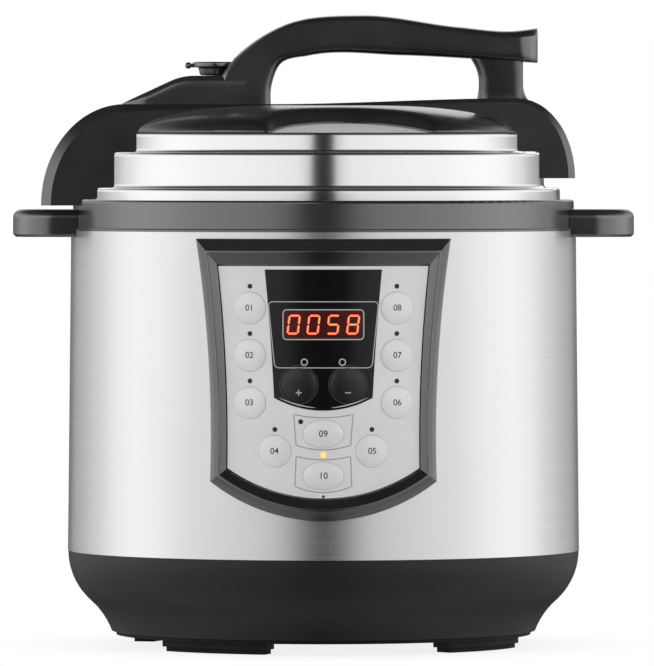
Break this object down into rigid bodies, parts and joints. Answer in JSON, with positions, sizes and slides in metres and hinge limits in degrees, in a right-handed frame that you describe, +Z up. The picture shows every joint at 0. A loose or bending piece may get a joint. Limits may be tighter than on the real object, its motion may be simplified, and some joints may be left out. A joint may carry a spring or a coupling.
{
  "type": "electric pressure cooker",
  "caption": "Round steel electric pressure cooker with a black bridge-handled twist lid, side tabs, curved front panel with display and push buttons, and a bowl base on feet.",
  "frame": {"origin": "on the floor under the middle of the pot", "axes": "+Z up, the control panel faces -Y, +X to the right seen from the front"},
  "size_m": [0.335, 0.2944, 0.3403],
  "materials": {
    "body_steel": "satin",
    "lid_steel": "polished",
    "black_plastic": "satin",
    "base_plastic": "matt",
    "cover_plastic": "satin",
    "bezel_plastic": "half gloss",
    "fascia_silver": "satin silver paint",
    "lens_black": "gloss",
    "button_silver": "satin silver",
    "key_black": "half gloss",
    "light_dark": "gloss",
    "light_amber": "lit",
    "foot_rubber": "matt",
    "silicone": "satin",
    "pot_alloy": "satin",
    "pot_coating": "non-stick coating",
    "cast_alloy": "as cast",
    "element_tube": "dull",
    "small_steel": "plain",
    "board_green": "lacquered",
    "inner_plastic": "plain",
    "cup_clear": "clear"
  },
  "bodies": {
    "root": {"base_cover": "base_plastic", "foot_pads": "foot_rubber", "base_housing": "base_plastic", "base_screws": "small_steel", "body_shell": "body_steel", "collar": "black_plastic", "side_handle_left": "black_plastic", "side_handle_right": "black_plastic", "outer_pot": "pot_alloy", "heating_plate": "cast_alloy", "heating_element": "element_tube", "sensor_guide": "inner_plastic", "sensor_spring": "small_steel", "spring_plate": "small_steel", "plate_studs": "small_steel", "pressure_switch": "inner_plastic", "thermal_fuse": "small_steel", "power_board": "board_green", "board_screws": "small_steel", "panel_carrier": "inner_plastic", "panel_fascia": "fascia_silver", "display_window": "lens_black", "panel_bezel": "bezel_plastic", "indicator_lights": "light_dark", "ready_light": "light_amber", "control_board": "board_green", "control_screws": "small_steel", "display_module": "inner_plastic", "power_inlet": "black_plastic", "cup_bracket": "black_plastic"},
    "seal": {"sealing_ring": "silicone"},
    "lid": {"lid_shell": "lid_steel", "lid_cover": "cover_plastic", "lid_handle": "cover_plastic", "lid_screws": "small_steel", "handle_screws": "small_steel", "steam_pipe": "small_steel", "pipe_nut": "small_steel", "steam_shield": "small_steel", "float_seat": "small_steel", "gasket_rack": "small_steel"},
    "valve": {"valve_knob": "cover_plastic"},
    "float": {"float_pin": "small_steel", "float_gasket": "silicone"},
    "pot": {"inner_pot": "pot_coating"},
    "sensor": {"sensor_cap": "pot_alloy"},
    "cup": {"condensation_cup": "cup_clear"},
    "menu_button_1_body": {"menu_button_1": "button_silver"},
    "menu_button_2_body": {"menu_button_2": "button_silver"},
    "menu_button_3_body": {"menu_button_3": "button_silver"},
    "menu_button_4_body": {"menu_button_4": "button_silver"},
    "menu_button_5_body": {"menu_button_5": "button_silver"},
    "menu_button_6_body": {"menu_button_6": "button_silver"},
    "menu_button_7_body": {"menu_button_7": "button_silver"},
    "menu_button_8_body": {"menu_button_8": "button_silver"},
    "mode_button_upper_body": {"mode_button_upper": "button_silver"},
    "mode_button_lower_body": {"mode_button_lower": "button_silver"},
    "plus_button_body": {"plus_button": "key_black"},
    "minus_button_body": {"minus_button": "key_black"}
  },
  "joints": [
    {"name": "lid_lift", "type": "slide", "parent": "root", "child": "seal", "axis": [0, 0, 1], "range_m": [0, 0.36]},
    {"name": "lid_turn", "type": "hinge", "parent": "seal", "child": "lid", "pos_m": [0, 0, 0.24], "axis": [0, 0, 1], "range_deg": [-30, 0]},
    {"name": "pot_lift", "type": "slide", "parent": "root", "child": "pot", "axis": [0, 0, 1], "range_m": [0, 0.18]},
    {"name": "valve_turn", "type": "hinge", "parent": "lid", "child": "valve", "pos_m": [-0.0586, 0, 0.31], "axis": [0, 0, 1], "range_deg": [0, 60]},
    {"name": "float_rise", "type": "slide", "parent": "lid", "child": "float", "axis": [0, 0, 1], "range_m": [0, 0.004]},
    {"name": "sensor_press", "type": "slide", "parent": "root", "child": "sensor", "axis": [0, 0, 1], "range_m": [-0.0025, 0], "stiffness_N_per_m": 400, "springref_m": 0.004, "deforming": ["sensor_spring"]},
    {"name": "cup_pull", "type": "slide", "parent": "root", "child": "cup", "axis": [0, 1, 0], "range_m": [0, 0.06]},
    {"name": "menu_button_1_press", "type": "slide", "parent": "root", "child": "menu_button_1_body", "axis": [0.2716, 0.9624, 0], "range_m": [0, 0.0008], "stiffness_N_per_m": 600, "springref_m": -0.0008},
    {"name": "menu_button_2_press", "type": "slide", "parent": "root", "child": "menu_button_2_body", "axis": [0.2716, 0.9624, 0], "range_m": [0, 0.0008], "stiffness_N_per_m": 600, "springref_m": -0.0008},
    {"name": "menu_button_3_press", "type": "slide", "parent": "root", "child": "menu_button_3_body", "axis": [0.2716, 0.9624, 0], "range_m": [0, 0.0008], "stiffness_N_per_m": 600, "springref_m": -0.0008},
    {"name": "menu_button_4_press", "type": "slide", "parent": "root", "child": "menu_button_4_body", "axis": [0.1795, 0.9838, 0], "range_m": [0, 0.0008], "stiffness_N_per_m": 600, "springref_m": -0.0008},
    {"name": "menu_button_5_press", "type": "slide", "parent": "root", "child": "menu_button_5_body", "axis": [-0.1795, 0.9838, 0], "range_m": [0, 0.0008], "stiffness_N_per_m": 600, "springref_m": -0.0008},
    {"name": "menu_button_6_press", "type": "slide", "parent": "root", "child": "menu_button_6_body", "axis": [-0.2716, 0.9624, 0], "range_m": [0, 0.0008], "stiffness_N_per_m": 600, "springref_m": -0.0008},
    {"name": "menu_button_7_press", "type": "slide", "parent": "root", "child": "menu_button_7_body", "axis": [-0.2716, 0.9624, 0], "range_m": [0, 0.0008], "stiffness_N_per_m": 600, "springref_m": -0.0008},
    {"name": "menu_button_8_press", "type": "slide", "parent": "root", "child": "menu_button_8_body", "axis": [-0.2716, 0.9624, 0], "range_m": [0, 0.0008], "stiffness_N_per_m": 600, "springref_m": -0.0008},
    {"name": "mode_button_upper_press", "type": "slide", "parent": "root", "child": "mode_button_upper_body", "axis": [0, 1, 0], "range_m": [0, 0.0008], "stiffness_N_per_m": 600, "springref_m": -0.0008},
    {"name": "mode_button_lower_press", "type": "slide", "parent": "root", "child": "mode_button_lower_body", "axis": [0, 1, 0], "range_m": [0, 0.0008], "stiffness_N_per_m": 600, "springref_m": -0.0008},
    {"name": "plus_button_press", "type": "slide", "parent": "root", "child": "plus_button_body", "axis": [0.0908, 0.9959, 0], "range_m": [0, 0.0008], "stiffness_N_per_m": 600, "springref_m": -0.0008},
    {"name": "minus_button_press", "type": "slide", "parent": "root", "child": "minus_button_body", "axis": [-0.0908, 0.9959, 0], "range_m": [0, 0.0008], "stiffness_N_per_m": 600, "springref_m": -0.0008}
  ],
  "couplings": [
    {"joint": "pot_lift", "follows": "lid_lift", "ratio": 0.5}
  ]
}
